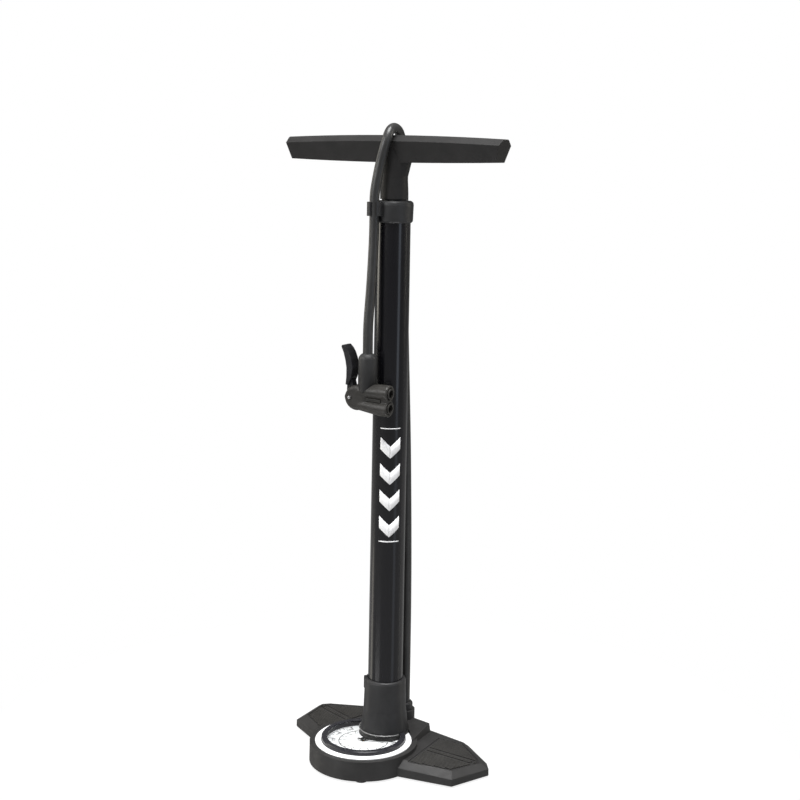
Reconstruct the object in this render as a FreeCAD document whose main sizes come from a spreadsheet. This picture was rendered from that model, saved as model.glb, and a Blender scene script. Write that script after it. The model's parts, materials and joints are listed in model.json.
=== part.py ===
import FreeCAD, Part
import os
import re
import Sketcher

# Floor bike pump with a gauge in its foot.  Millimetres, +Z up.
# Origin: where the pump's axis meets the floor.  The gauge side of the foot faces -Y.

DIMENSIONS = {
    # barrel and its two end fittings
    "barrel_radius": 17.5,
    "barrel_wall": 1.5,
    "barrel_bottom": 12.0,
    "barrel_top": 546.0,
    "socket_bottom": 8.0,
    "socket_seat": 22.5,
    "socket_top": 74.5,
    "socket_foot_radius": 24.0,
    "socket_neck_radius": 20.8,
    "socket_rim_radius": 20.7,
    "socket_spigot_radius": 21.0,
    "collar_bottom": 534.0,
    "collar_top": 556.0,
    "collar_radius": 20.0,
    "collar_edge": 1.6,
    "bush_radius": 9.0,
    # hose
    "hose_radius": 5.0,
    "hose_bore": 2.5,
    "clip_reach": 25.2,
    "front_clip_x": -3.3,
    "rear_clip_x": -8.0,
    "rear_clip_y": 24.0,
    "clip_wall": 2.4,
    "clip_play": 0.2,
    "clip_bottom": 541.0,
    "clip_height": 14.0,
    "boss_reach": 31.0,
    "boss_radius": 10.2,
    "boss_top": 34.0,
    "hose_split": 562.0,
    "loop_top": 629.8,
    # foot
    "foot_bottom": 1.5,
    "gauge_reach": 31.0,
    "housing_radius": 53.5,
    "housing_top": 20.0,
    "column_radius": 25.0,
    "wing_root": 50.0,
    "wing_front": -40.0,
    "front_corner_x": 105.0,
    "front_corner_y": -20.5,
    "tip_x": 115.5,
    "tip_y": 23.5,
    "tip_chamfer_x": 107.0,
    "tip_chamfer_y": 31.5,
    "rear_corner_x": 70.0,
    "rear_corner_y": 49.5,
    "wing_rear": 40.0,
    "bevel": 7.0,
    "skirt_rise": 9.8,
    "skirt_slope": 1.8,
    "tread_rise": 18.2,
    "tread_slope": 3.8,
    "tread_sink": 0.8,
    "hub_half": 33.0,
    "hub_rear": 37.0,
    "hub_rise": 21.6,
    "hub_slope": 7.0,
    "pad_radius": 6.5,
    # gauge
    "bezel_radius": 41.8,
    "window_radius": 36.3,
    "bezel_top": 25.0,
    "accent_radius": 48.0,
    "pointer_start": 29.0,
    "pointer_length": 33.0,
    "pinion_radius": 2.4,
    "gear_ratio": 8.0,
    # plunger
    "rod_radius": 5.0,
    "rod_bore": 3.5,
    "rod_bottom": 50.0,
    "rod_top": 606.0,
    "running_gap": 0.05,
    "handle_turned": 11.8,
    "stem_radius": 14.0,
    "stem_bottom": 557.6,
    "handle_half": 125.4,
    "grip_bottom": 594.6,
    "grip_shoulder": 616.0,
    "grip_top": 622.3,
    "grip_half_depth": 14.75,
    "grip_sole": 9.5,
    "grip_crown": 6.0,
    "end_drop": 3.0,
    "end_lift": 2.2,
    "end_slant": 9.5,
    # pump head
    "head_x": -3.0,
    "head_y": -31.0,
    "head_z": 359.3,
    "head_turned": 11.5,
    "head_droop": 1.5,
    "outlet_pitch": 14.5,
    "outlet_barrel": 8.4,
    "outlet_start": 6.0,
    "head_front": 26.0,
    "head_back": -9.4,
    "taper_radius": 5.4,
    "taper_pitch": 12.0,
    "knuckle_radius": 12.0,
    "pin_x": -16.4,
    "pin_z": 0.0,
    "pin_radius": 1.6,
    "cam_radius": 4.6,
    "cam_offset": 1.0,
    "boot_radius": 9.3,
    "boot_top": 403.8,
    "lever_width": 13.0,
    "slot_width": 8.0,
}

CLIP_MOUTH = 27  # degrees from the middle of a hose clip's mouth to either lip

doc = FreeCAD.newDocument("floor_pump")
Vector = FreeCAD.Vector
Rotation = FreeCAD.Rotation
Placement = FreeCAD.Placement
UP = Vector(0, 0, 1)
pieces = {}


# ---------------------------------------------------------------- sheet and formulas

def make_sheet():
    dims = doc.addObject("Spreadsheet::Sheet", "Dims")
    for row, (word, value) in enumerate(DIMENSIONS.items(), 1):
        dims.set(f"A{row}", word)
        dims.set(f"B{row}", str(value))
        dims.setAlias(f"B{row}", word)
    doc.recompute()
    return dims


sheet = make_sheet()


def formula(text):
    """Turns the sheet's words in a formula into references to their cells."""
    def cell(found):
        word = found.group()
        return f"Dims.{word}" if word in DIMENSIONS else word
    return re.sub(r"[a-z][a-z_]+", cell, str(text))


def number(text):
    """The present value of a formula."""
    return float(sheet.evalExpression(formula(text)))


def bind(thing, name, text):
    thing.setExpression(name, formula(text))


# ---------------------------------------------------------------- sketches and features

def new_body(label, wanted=True):
    body = doc.addObject("PartDesign::Body", label)
    body.Label = label
    if wanted:
        pieces[label] = body
    return body


def new_sketch(body, role, offset="0"):
    """A sketch on one of the body's own origin planes, moved along that plane's normal."""
    sketch = body.newObject("Sketcher::SketchObject", "Sketch")
    plane = next(item for item in body.Origin.OriginFeatures if item.Role == role)
    sketch.AttachmentSupport = [(plane, "")]
    sketch.MapMode = "FlatFace"
    bind(sketch, ".AttachmentOffset.Base.z", offset)
    return sketch


def pin_point(sketch, index, place, across, up):
    """Fixes one point of the sketch at two formulas measured from the sketch's origin."""
    for kind, text, axis in (("DistanceX", across, -2), ("DistanceY", up, -1)):
        value = number(text)
        if abs(value) < 1e-9:
            sketch.addConstraint(Sketcher.Constraint("PointOnObject", index, place, axis))
            continue
        spot = sketch.addConstraint(Sketcher.Constraint(kind, -1, 1, index, place, value))
        bind(sketch, f"Constraints[{spot}]", text)


def add_outline(sketch, corners):
    """A closed outline of straight lines through corners given as pairs of formulas."""
    spots = [Vector(number(across), number(up), 0) for across, up in corners]
    first = sketch.GeometryCount
    count = len(spots)
    for index, spot in enumerate(spots):
        sketch.addGeometry(Part.LineSegment(spot, spots[(index + 1) % count]), False)
    for index in range(count):
        after = first + (index + 1) % count
        sketch.addConstraint(Sketcher.Constraint("Coincident", first + index, 2, after, 1))
    for index, (across, up) in enumerate(corners):
        pin_point(sketch, first + index, 1, across, up)


def add_circle(sketch, across, up, radius):
    centre = Vector(number(across), number(up), 0)
    index = sketch.addGeometry(Part.Circle(centre, UP, number(radius)), False)
    spot = sketch.addConstraint(Sketcher.Constraint("Radius", index, number(radius)))
    bind(sketch, f"Constraints[{spot}]", radius)
    pin_point(sketch, index, 3, across, up)


def outline_sketch(body, role, offset, corners):
    sketch = new_sketch(body, role, offset)
    add_outline(sketch, corners)
    return sketch


def circle_sketch(body, role, offset, circles):
    sketch = new_sketch(body, role, offset)
    for across, up, radius in circles:
        add_circle(sketch, across, up, radius)
    return sketch


def extrude(body, kind, sketch, length, reverse=False, middle=False):
    """A Pad or a Pocket; each one has to change the body's volume."""
    doc.recompute()
    before = body.Shape.Volume if body.Shape and not body.Shape.isNull() else 0.0
    feature = body.newObject(f"PartDesign::{kind}", kind)
    feature.Profile = sketch
    bind(feature, "Length", length)
    feature.Reversed = reverse
    if middle:
        feature.SideType = "Symmetric"
    body.Tip = feature
    doc.recompute()
    change = body.Shape.Volume - before
    grew = change > 1e-3 if kind == "Pad" else change < -1e-3
    if not grew:
        raise RuntimeError(f"{kind} on {body.Label} changed the volume by {change:.3f}")
    return feature


def pad(body, sketch, length, reverse=False, middle=False):
    return extrude(body, "Pad", sketch, length, reverse, middle)


def pocket(body, sketch, length, reverse=False, middle=False):
    return extrude(body, "Pocket", sketch, length, reverse, middle)


def revolve(body, profile, angle="360"):
    """Turns a profile of (radius, height) formulas about the body's own Z axis."""
    sketch = outline_sketch(body, "XZ_Plane", "0", profile)
    feature = body.newObject("PartDesign::Revolution", "Revolution")
    feature.Profile = sketch
    feature.ReferenceAxis = (sketch, ["V_Axis"])
    bind(feature, "Angle", angle)
    body.Tip = feature
    doc.recompute()
    return feature


def lathe(label, profile):
    body = new_body(label)
    revolve(body, profile)
    return body


def loft(body, sketches, ruled):
    feature = body.newObject("PartDesign::AdditiveLoft", "AdditiveLoft")
    feature.Profile = sketches[0]
    feature.Sections = sketches[1:]
    feature.Ruled = ruled
    body.Tip = feature
    doc.recompute()
    return feature


def lean(sketch, axis, angle):
    """Leans a sketch's plane about an axis by an angle from the sheet."""
    offset = sketch.AttachmentOffset
    sketch.AttachmentOffset = Placement(offset.Base, Rotation(axis, number(angle)))
    return sketch


def place(thing, spot, turn=None):
    """Puts a body at three formulas, with an optional rotation."""
    if turn:
        thing.Placement = Placement(Vector(0, 0, 0), turn)
    for name, text in zip("xyz", spot):
        bind(thing, f".Placement.Base.{name}", text)


def cylinder(label, radius, bottom, height, spot=("0", "0"), angle="360", wanted=True):
    feature = doc.addObject("Part::Cylinder", label)
    feature.Label = label
    bind(feature, "Radius", radius)
    bind(feature, "Height", height)
    bind(feature, "Angle", angle)
    bind(feature, ".Placement.Base.x", spot[0])
    bind(feature, ".Placement.Base.y", spot[1])
    bind(feature, ".Placement.Base.z", bottom)
    if wanted:
        pieces[label] = feature
    return feature


def box(label, low, sizes, wanted=True):
    feature = doc.addObject("Part::Box", label)
    feature.Label = label
    for name, text in zip(("Length", "Width", "Height"), sizes):
        bind(feature, name, text)
    for name, text in zip("xyz", low):
        bind(feature, f".Placement.Base.{name}", text)
    if wanted:
        pieces[label] = feature
    return feature


def combine(label, kind, first, second):
    """A Part::Cut or Part::Common of two objects, kept as one sub-part."""
    feature = doc.addObject(f"Part::{kind}", label)
    feature.Base = first
    feature.Tool = second
    feature.Label = label
    pieces[label] = feature
    return feature


def gather(label, kind, objects):
    """A Part::MultiFuse or Part::Compound of several objects, kept as one sub-part."""
    feature = doc.addObject(f"Part::{kind}", label)
    if kind == "Compound":
        feature.Links = objects
    else:
        feature.Shapes = objects
    feature.Label = label
    pieces[label] = feature
    return feature


# ---------------------------------------------------------------- foot

def wing_outline(side, inset):
    """One foot wing seen from above, drawn in by a number of bevel widths."""
    half = f"{inset} * bevel"
    corners = [
        ("20", "wing_front"),
        ("wing_root", f"wing_front + {half}"),
        (f"front_corner_x - 0.8 * {half}", f"front_corner_y + {half}"),
        (f"tip_x - {half}", f"tip_y - 0.3 * {half}"),
        (f"tip_chamfer_x - 0.6 * {half}", f"tip_chamfer_y - 0.6 * {half}"),
        (f"rear_corner_x - 0.2 * {half}", f"rear_corner_y - {half}"),
        ("20", f"wing_rear - 0.5 * {half}"),
    ]
    return [(f"{side} * ({across})", up) for across, up in corners]


def tread_outline(side):
    """The sunk tread field on top of one wing."""
    corners = [
        ("wing_root + 8.5", "wing_front + 1.25 * bevel"),
        ("front_corner_x - 1.1 * bevel", "front_corner_y + 1.15 * bevel"),
        ("tip_x - 1.3 * bevel", "tip_y - 0.5 * bevel"),
        ("tip_chamfer_x - 0.9 * bevel", "tip_chamfer_y - 0.9 * bevel"),
        ("rear_corner_x", "rear_corner_y - 1.45 * bevel"),
        ("wing_root - 4", "wing_rear - 1.35 * bevel"),
    ]
    return [(f"{side} * ({across})", up) for across, up in corners]


def add_wing(body, side):
    """Upright skirt, bevel and sloping tread field of one wing."""
    across_axis = Vector(0, side, 0)
    low = outline_sketch(body, "XY_Plane", "foot_bottom", wing_outline(side, 0))
    skirt = outline_sketch(body, "XY_Plane", "skirt_rise + 1.6", wing_outline(side, 0))
    tread = outline_sketch(body, "XY_Plane", "tread_rise + 1", wing_outline(side, 1))
    lean(skirt, across_axis, "skirt_slope")
    lean(tread, across_axis, "tread_slope")
    loft(body, [low, skirt, tread], True)


def sink_tread(body, side):
    sketch = outline_sketch(body, "XY_Plane", "tread_rise + 1 - tread_sink", tread_outline(side))
    lean(sketch, Vector(0, side, 0), "tread_slope")
    pocket(body, sketch, "4", reverse=True)


def base_foot():
    """Moulded foot: gauge housing, two tread wings, hub, barrel column and hose boss."""
    body = new_body("base_foot")
    housing = circle_sketch(body, "XY_Plane", "foot_bottom", [("0", "-gauge_reach", "housing_radius")])
    pad(body, housing, "housing_top - foot_bottom")
    for side in (1, -1):
        add_wing(body, side)
    hub_low = [("-wing_root", "wing_front + 2"), ("wing_root", "wing_front + 2"),
               ("hub_half", "hub_rear"), ("-hub_half", "hub_rear")]
    hub_high = [("4 - wing_root", "wing_front + 4"), ("wing_root - 4", "wing_front + 4"),
                ("hub_half - 2.5", "hub_rear - 2.5"), ("2.5 - hub_half", "hub_rear - 2.5")]
    low = outline_sketch(body, "XY_Plane", "foot_bottom", hub_low)
    high = outline_sketch(body, "XY_Plane", "hub_rise", hub_high)
    lean(high, Vector(1, 0, 0), "hub_slope")
    loft(body, [low, high], True)
    cuts = (("housing_top", "accent_radius + 0.6", "12"),
            ("housing_top - 1", "accent_radius + 0.2", "12"),
            ("4", "bezel_radius + 0.2", "30"))
    for bottom, radius, depth in cuts:
        sketch = circle_sketch(body, "XY_Plane", bottom, [("0", "-gauge_reach", radius)])
        pocket(body, sketch, depth, reverse=True)
    column = circle_sketch(body, "XY_Plane", "foot_bottom", [("0", "0", "column_radius")])
    pad(body, column, "socket_seat - foot_bottom")
    boss = circle_sketch(body, "XY_Plane", "foot_bottom", [("0", "boss_reach", "boss_radius")])
    pad(body, boss, "boss_top - foot_bottom")
    gusset = [("-5", "20"), ("5", "20"), ("5", "boss_reach"), ("-5", "boss_reach")]
    pad(body, outline_sketch(body, "XY_Plane", "foot_bottom", gusset), "boss_top - foot_bottom - 3")
    room = circle_sketch(body, "XY_Plane", "socket_seat", [("0", "0", "socket_foot_radius + 0.3")])
    pocket(body, room, "60", reverse=True)
    bore = circle_sketch(body, "XY_Plane", "socket_bottom", [("0", "0", "socket_spigot_radius")])
    pocket(body, bore, "60", reverse=True)
    for side in (1, -1):
        sink_tread(body, side)
        hollow = [(f"{side} * 58", "-26"), (f"{side} * 84", "-20"), (f"{side} * 88", "20"),
                  (f"{side} * 62", "34")]
        pocket(body, outline_sketch(body, "XY_Plane", "foot_bottom", hollow), "5.5", reverse=True)
    air_drop = circle_sketch(body, "XY_Plane", "4", [("0", "0", "3")])
    pocket(body, air_drop, "20", reverse=True)
    air_run = circle_sketch(body, "XZ_Plane", "0", [("0", "5.8", "1.5")])
    pocket(body, air_run, "boss_reach")
    air_rise = circle_sketch(body, "XY_Plane", "4", [("0", "boss_reach", "3")])
    pocket(body, air_rise, "60", reverse=True)
    screws = circle_sketch(body, "XY_Plane", "foot_bottom",
                           [("14", "0", "1.7"), ("-14", "0", "1.7")])
    pocket(body, screws, "20", reverse=True)
    heads = circle_sketch(body, "XY_Plane", "foot_bottom", [("14", "0", "3.4"), ("-14", "0", "3.4")])
    pocket(body, heads, "2.5", reverse=True)


def base_pads():
    """Rubber feet glued under the foot."""
    spots = [("0", "0"), ("97", "4"), ("-97", "4"), ("27", "28"), ("-27", "28"), ("30", "-66"), ("-30", "-66")]
    discs = [cylinder(f"pad_{index}", "pad_radius", "0", "foot_bottom", spot, wanted=False)
             for index, spot in enumerate(spots)]
    gather("base_pads", "Compound", discs)


def base_screws():
    """Two screws that hold the barrel socket down on the foot."""
    parts = []
    for side in (1, -1):
        head = cylinder(f"head_{side}", "3.2", "foot_bottom + 0.4", "2.1", (f"{side} * 14", "0"),
                        wanted=False)
        shank = cylinder(f"shank_{side}", "1.6", "foot_bottom + 0.4", "10", (f"{side} * 14", "0"),
                         wanted=False)
        parts.append(doc.addObject("Part::MultiFuse", f"screw_{side}"))
        parts[-1].Shapes = [head, shank]
    gather("base_screws", "Compound", parts)


def barrel_socket():
    """Tapered collar that carries the barrel, with a spigot inside the foot's column."""
    body = lathe("barrel_socket", [
        ("6", "socket_bottom"),
        ("socket_spigot_radius", "socket_bottom"),
        ("socket_spigot_radius", "socket_seat"),
        ("socket_foot_radius", "socket_seat"),
        ("socket_foot_radius - 0.9", "socket_seat + 8"),
        ("socket_neck_radius + 0.7", "socket_seat + 22"),
        ("socket_neck_radius", "socket_top - 6"),
        ("socket_rim_radius", "socket_top - 2.4"),
        ("socket_rim_radius - 0.6", "socket_top - 0.8"),
        ("socket_rim_radius - 1.6", "socket_top"),
        ("barrel_radius", "socket_top"),
        ("barrel_radius", "barrel_bottom"),
        ("6", "barrel_bottom"),
    ])
    lug = circle_sketch(body, "XY_Plane", "socket_top - 11",
                        [("-0.75 * (socket_rim_radius - 1)", "-0.66 * (socket_rim_radius - 1)", "2")])
    pad(body, lug, "11.6")
    screws = circle_sketch(body, "XY_Plane", "socket_bottom", [("14", "0", "1.6"), ("-14", "0", "1.6")])
    pocket(body, screws, "6", reverse=True)


# ---------------------------------------------------------------- barrel and what it holds

def barrel_tube():
    inner = "barrel_radius - barrel_wall"
    lathe("barrel_tube", [(inner, "barrel_bottom"), ("barrel_radius", "barrel_bottom"),
                          ("barrel_radius", "barrel_top"), (inner, "barrel_top")])


def foot_plug():
    """Plug that closes the barrel's lower end and holds the check valve."""
    outer = "barrel_radius - barrel_wall"
    lathe("foot_plug", [
        ("5.5", "barrel_bottom"), (outer, "barrel_bottom"), (outer, "22"), ("13.2", "22"),
        ("13.2", "25.2"), (outer, "25.2"), (outer, "32"), ("2.2", "32"), ("2.2", "26"), ("5.5", "26"),
    ])


def plug_seal():
    ring = doc.addObject("Part::Torus", "plug_seal")
    ring.Label = "plug_seal"
    bind(ring, "Radius1", "barrel_radius - barrel_wall - 1.4")
    bind(ring, "Radius2", "1.37")
    bind(ring, ".Placement.Base.z", "23.6")
    pieces["plug_seal"] = ring


def check_valve():
    """Retainer, spring and disc that keep the air from flowing back into the barrel."""
    lathe("check_valve_retainer", [("2", "barrel_bottom"), ("5.5", "barrel_bottom"), ("5.5", "14"), ("2", "14")])
    lathe("check_valve_disc", [("0", "24.2"), ("4.2", "24.2"), ("4.2", "25.95"), ("0", "25.95")])
    body = new_body("check_valve_spring")
    wire = circle_sketch(body, "XZ_Plane", "0", [("3.2", "14.6", "0.4")])
    coil = body.newObject("PartDesign::AdditiveHelix", "AdditiveHelix")
    coil.Profile = wire
    coil.ReferenceAxis = (wire, ["V_Axis"])
    coil.Mode = "height-turns-angle"
    coil.Height = 9.0
    coil.Turns = 5
    body.Tip = coil
    doc.recompute()


def top_collar():
    """Screwed cap of the barrel, with a hose clip in front and one behind."""
    body = lathe("top_collar", [
        ("barrel_radius", "collar_bottom"),
        ("collar_radius - collar_edge", "collar_bottom"),
        ("collar_radius - 0.3", "collar_bottom + collar_edge"),
        ("collar_radius + 0.3", "collar_top - 4"),
        ("collar_radius - 0.2", "collar_top - collar_edge"),
        ("collar_radius - 1.4 * collar_edge", "collar_top"),
        ("bush_radius", "collar_top"),
        ("bush_radius", "barrel_top"),
        ("barrel_radius", "barrel_top"),
    ])
    add_clip(body, -1, "front_clip_x", "-clip_reach", 33)
    add_clip(body, 1, "rear_clip_x", "rear_clip_y", 200)


def add_clip(body, side, across, up, mouth_turn):
    """A C-shaped hose clip on a short neck; its mouth is turned about the hose from -Y."""
    outer = "(hose_radius + clip_play + clip_wall)"
    ring = circle_sketch(body, "XY_Plane", "clip_bottom", [(across, up, outer)])
    pad(body, ring, "clip_height")
    root = f"{side} * (collar_radius - 2)"
    neck = [(f"{across} - 5", root), (f"{across} + 5", root), (f"{across} + 5", up), (f"{across} - 5", up)]
    pad(body, outline_sketch(body, "XY_Plane", "clip_bottom", neck), "clip_height")
    hole = circle_sketch(body, "XY_Plane", "clip_bottom - 1", [(across, up, "hose_radius + clip_play")])
    pocket(body, hole, "clip_height + 2", reverse=True)
    turn = f"{mouth_turn}"
    corners = [(across, up)]
    for lean_out in (CLIP_MOUTH, -CLIP_MOUTH):
        corners.append((f"{across} + 11 * sin({turn} + {lean_out})", f"{up} - 11 * cos({turn} + {lean_out})"))
    pocket(body, outline_sketch(body, "XY_Plane", "clip_bottom - 1", corners), "clip_height + 2", reverse=True)


def rod_bush():
    """Plain bearing of the plunger rod, flanged inside the barrel."""
    bore = "rod_radius + running_gap"
    lathe("rod_bush", [
        (bore, "barrel_top - 5"), ("barrel_radius - barrel_wall - 0.1", "barrel_top - 5"),
        ("barrel_radius - barrel_wall - 0.1", "barrel_top"), ("bush_radius", "barrel_top"),
        ("bush_radius", "collar_top"), (bore, "collar_top"),
    ])


# ---------------------------------------------------------------- plunger

def plunger_rod():
    lathe("plunger_rod", [("rod_bore", "rod_bottom"), ("rod_radius", "rod_bottom"),
                          ("rod_radius", "rod_top"), ("rod_bore", "rod_top")])


def piston():
    bore = "barrel_radius - barrel_wall"
    lathe("piston_body", [
        ("3", "46"), ("15", "46"), ("15", "48.6"), ("9", "48.6"), ("9", "58.5"), (f"{bore} - running_gap", "58.5"),
        (f"{bore} - running_gap", "64"), ("rod_radius", "64"), ("rod_radius", "rod_bottom"), ("3", "rod_bottom"),
    ])
    lathe("piston_cup", [
        ("9", "48.8"), ("12", "48.8"), ("14.2", "50"), (f"{bore} - running_gap", "49"),
        (f"{bore} - running_gap", "55.5"), ("14.4", "58"), ("9", "58"),
    ])
    lathe("piston_bolt", [("0", "42"), ("5.5", "42"), ("5.5", "46"), ("3", "46"), ("3", "60"), ("0", "60")])
    lathe("top_bumper", [("rod_radius", "64.2"), ("9.5", "64.2"), ("9.5", "76"), ("8", "78"), ("rod_radius", "78")])
    lathe("stem_bumper", [("rod_radius + 0.1", "collar_top + 0.1"), ("12.2", "collar_top + 0.1"),
                          ("12.2", "stem_bottom"), ("rod_radius + 0.1", "stem_bottom")])


def grip_section(drop, lift, shrink):
    """Cross-section of the grip; the ends are a little lower, shallower and thinner."""
    half = [(f"grip_sole - {shrink}", f"grip_bottom + {lift}"),
            (f"grip_half_depth - {shrink}", f"grip_shoulder - {drop}"),
            (f"grip_crown - {shrink}", f"grip_top - {drop}")]
    return half + [(f"-({across})", up) for across, up in reversed(half)]


def handle():
    """Bar with a faceted section on a round stem that flares into it."""
    body = new_body("handle")
    end = grip_section("end_drop", "end_lift", "0.6")
    sections = [outline_sketch(body, "YZ_Plane", "-handle_half", end),
                outline_sketch(body, "YZ_Plane", "0", grip_section("0", "0", "0")),
                outline_sketch(body, "YZ_Plane", "handle_half", end)]
    loft(body, sections, False)
    for side in (1, -1):
        wedge = [(f"{side} * (handle_half - end_slant)", "grip_bottom - 8"),
                 (f"{side} * (handle_half - 1)", "grip_top - 4"),
                 (f"{side} * (handle_half - 3)", "grip_top + 4"),
                 (f"{side} * (handle_half + 9)", "grip_top + 4"),
                 (f"{side} * (handle_half + 9)", "grip_bottom - 8")]
        pocket(body, outline_sketch(body, "XZ_Plane", "0", wedge), "60", middle=True)
    stem = circle_sketch(body, "XY_Plane", "stem_bottom", [("0", "0", "stem_radius")])
    pad(body, stem, "grip_shoulder - stem_bottom - 6")
    flare_low = new_sketch(body, "XY_Plane", "grip_bottom - 14")
    add_ellipse(flare_low, "stem_radius + 0.1", "stem_radius - 0.1")
    flare_high = new_sketch(body, "XY_Plane", "grip_bottom + 4")
    add_ellipse(flare_high, "stem_radius + 6", "grip_sole + 1.5")
    loft(body, [flare_low, flare_high], True)
    bore = circle_sketch(body, "XY_Plane", "stem_bottom", [("0", "0", "rod_radius")])
    pocket(body, bore, "rod_top - stem_bottom", reverse=True)
    bind(body, ".Placement.Rotation.Angle", "handle_turned")


def add_ellipse(sketch, half_across, half_up):
    spots = (Vector(number(half_across), 0, 0), Vector(0, number(half_up), 0), Vector(0, 0, 0))
    sketch.addGeometry(Part.Ellipse(*spots), False)


# ---------------------------------------------------------------- gauge

def clear_column(body, radius):
    """Cuts away what would run into the barrel's column or socket."""
    sketch = circle_sketch(body, "XY_Plane", "0", [("0", "gauge_reach", radius)])
    pocket(body, sketch, "90", middle=True)


def gauge_ring(label, profile, clearance):
    body = lathe(label, profile)
    clear_column(body, clearance)
    place(body, ("0", "-gauge_reach", "0"))
    return body


def gauge_case():
    gauge_ring("gauge_cup", [("0", "4.05"), ("bezel_radius - 0.2", "4.05"), ("bezel_radius - 0.2", "19"),
                             ("bezel_radius - 1.4", "19"), ("bezel_radius - 1.4", "5.2"), ("0", "5.2")],
               "column_radius + 0.2")
    gauge_ring("gauge_dial", [("1.2", "18.2"), ("bezel_radius - 1.5", "18.2"), ("bezel_radius - 1.5", "19"),
                              ("1.2", "19")], "column_radius + 0.6")
    gauge_ring("gauge_bezel", [("window_radius + 1", "19.1"), ("bezel_radius", "19.1"),
                               ("bezel_radius", "bezel_top - 1"), ("bezel_radius - 1", "bezel_top"),
                               ("window_radius + 0.6", "bezel_top"), ("window_radius", "bezel_top - 0.6"),
                               ("window_radius + 1", "bezel_top - 0.7")],
               "column_radius + 0.2")
    gauge_ring("gauge_lens", [("0", "22.9"), ("window_radius + 0.7", "22.9"), ("window_radius + 0.7", "24.1"),
                              ("0", "24.1")], "socket_foot_radius + 0.4")
    gauge_ring("accent_ring", [("bezel_radius + 0.3", "housing_top - 0.95"), ("accent_radius", "housing_top - 0.95"),
                               ("accent_radius", "housing_top + 0.5"), ("accent_radius - 0.8", "housing_top + 1.2"),
                               ("bezel_radius + 0.3", "housing_top + 1.2")], "column_radius + 0.2")


def gauge_movement():
    """Bourdon tube, its block, the movement plate, the toothless sector and the pinion."""
    tube_outer = cylinder("tube_outer", "33.5", "7", "6", ("0", "-gauge_reach"), "220", wanted=False)
    tube_inner = cylinder("tube_inner", "30.5", "6", "8", ("0", "-gauge_reach"), "360", wanted=False)
    tube_outer.Placement = Placement(tube_outer.Placement.Base, Rotation(UP, -200))
    combine("bourdon_tube", "Cut", tube_outer, tube_inner)
    block = box("bourdon_block", ("29 * cos(20)", "29 * sin(20) - gauge_reach", "5.3"), ("6", "7", "7.7"))
    block.Placement = Placement(block.Placement.Base, Rotation(UP, 20))
    plate = new_body("movement_plate")
    sector_reach = "pinion_radius * (gear_ratio + 1)"
    outline = [("-11", f"-{sector_reach} - 5"), ("11", f"-{sector_reach} - 5"), ("11", "4"), ("-11", "4")]
    pad(plate, outline_sketch(plate, "XY_Plane", "12", outline), "1.2")
    posts = circle_sketch(plate, "XY_Plane", "5.2", [("9", f"-{sector_reach} - 3", "1.5"),
                                                    ("-9", f"-{sector_reach} - 3", "1.5")])
    pad(plate, posts, "7")
    bores = circle_sketch(plate, "XY_Plane", "12", [("0", "0", "0.8 + running_gap"),
                                                   ("0", f"-{sector_reach}", "1 + running_gap")])
    pocket(plate, bores, "4", middle=True)
    place(plate, ("0", "-gauge_reach", "0"))
    pivot = ("0", f"-gauge_reach - {sector_reach}")
    blade = cylinder("sector_blade", "pinion_radius * gear_ratio - 0.1", "8.9", "1.4", pivot, "34", wanted=False)
    blade.Placement = Placement(blade.Placement.Base, Rotation(UP, 58))
    arbor = cylinder("sector_arbor", "1", "6", "7.2", pivot, wanted=False)
    gather("gauge_sector", "MultiFuse", [blade, arbor])
    pinion = lathe("gauge_pinion", [("0", "6.2"), ("0.8", "6.2"), ("0.8", "8.6"), ("pinion_radius - 0.1", "8.6"),
                                    ("pinion_radius - 0.1", "10.6"), ("0.8", "10.6"), ("0.8", "20.3"), ("0", "20.3")])
    place(pinion, ("0", "-gauge_reach", "0"))


def gauge_pointer():
    body = lathe("gauge_pointer", [("0", "20.3"), ("3", "20.3"), ("3", "21"), ("2.4", "21.5"), ("0", "21.5")])
    outline = [("-6", "-0.9"), ("-6", "0.9"), ("0", "1"), ("pointer_length", "0.25"), ("pointer_length", "-0.25"),
               ("0", "-1")]
    pad(body, outline_sketch(body, "XY_Plane", "20.4", outline), "0.6")
    place(body, ("0", "-gauge_reach", "0"), Rotation(UP, number("pointer_start")))


# ---------------------------------------------------------------- hose

def hose_run(label, spots, lowest=0):
    """A hollow hose swept along a smooth curve through points; it ends level at its lowest height."""
    path = Part.BSplineCurve()
    path.interpolate(Points=spots)
    spine = Part.Wire([path.toShape()])
    start = path.tangent(path.FirstParameter)[0]
    tubes = []
    for radius in (number("hose_radius"), number("hose_bore")):
        ring = Part.Wire([Part.makeCircle(radius, spots[0], start)])
        tubes.append(spine.makePipeShell([ring], True, False))
    run = doc.addObject("Part::Feature", label)
    below = Part.makeBox(400, 400, 400, Vector(-200, -200, lowest - 400))
    run.Shape = tubes[0].cut(tubes[1]).cut(below)
    run.Label = label
    pieces[label] = run


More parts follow.
